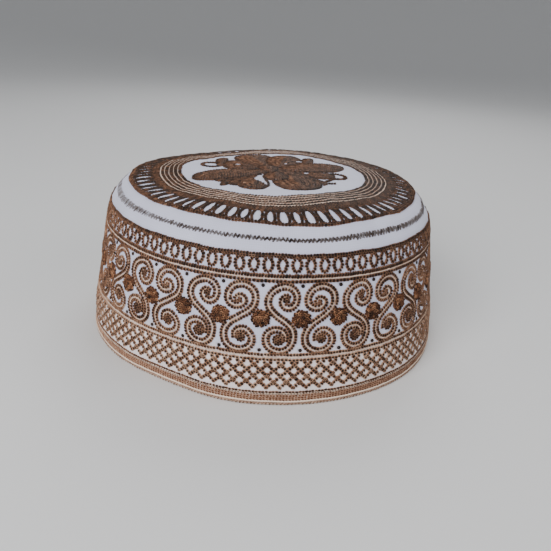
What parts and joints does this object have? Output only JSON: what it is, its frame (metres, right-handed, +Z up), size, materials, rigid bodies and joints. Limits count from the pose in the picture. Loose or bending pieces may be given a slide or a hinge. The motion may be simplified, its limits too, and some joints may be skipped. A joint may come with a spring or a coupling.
{
  "type": "embroidered cap",
  "caption": "Round flat-crowned cotton cap with a tall embroidered side band, an embroidered crown ring and flower, and an open hollow for the head.",
  "frame": {"origin": "on the surface the cap rests on, under the middle of its hem", "axes": "+Z up along the cap's axis, -Y towards the side that faces the viewer, +X to that viewer's right"},
  "size_m": [0.1846, 0.1852, 0.0796],
  "materials": {
    "white_cotton": "plain woven white cotton, matt",
    "hem_cotton": "rolled cotton edge whipped with beige thread, matt",
    "brown_thread": "brown embroidery thread in chain stitches, soft sheen",
    "cream_thread": "cream embroidery thread laid between the brown rows, soft sheen"
  },
  "bodies": {
    "root": {"side_band": "white_cotton", "crown_top": "white_cotton", "hem_binding": "hem_cotton"}
  },
  "joints": []
}
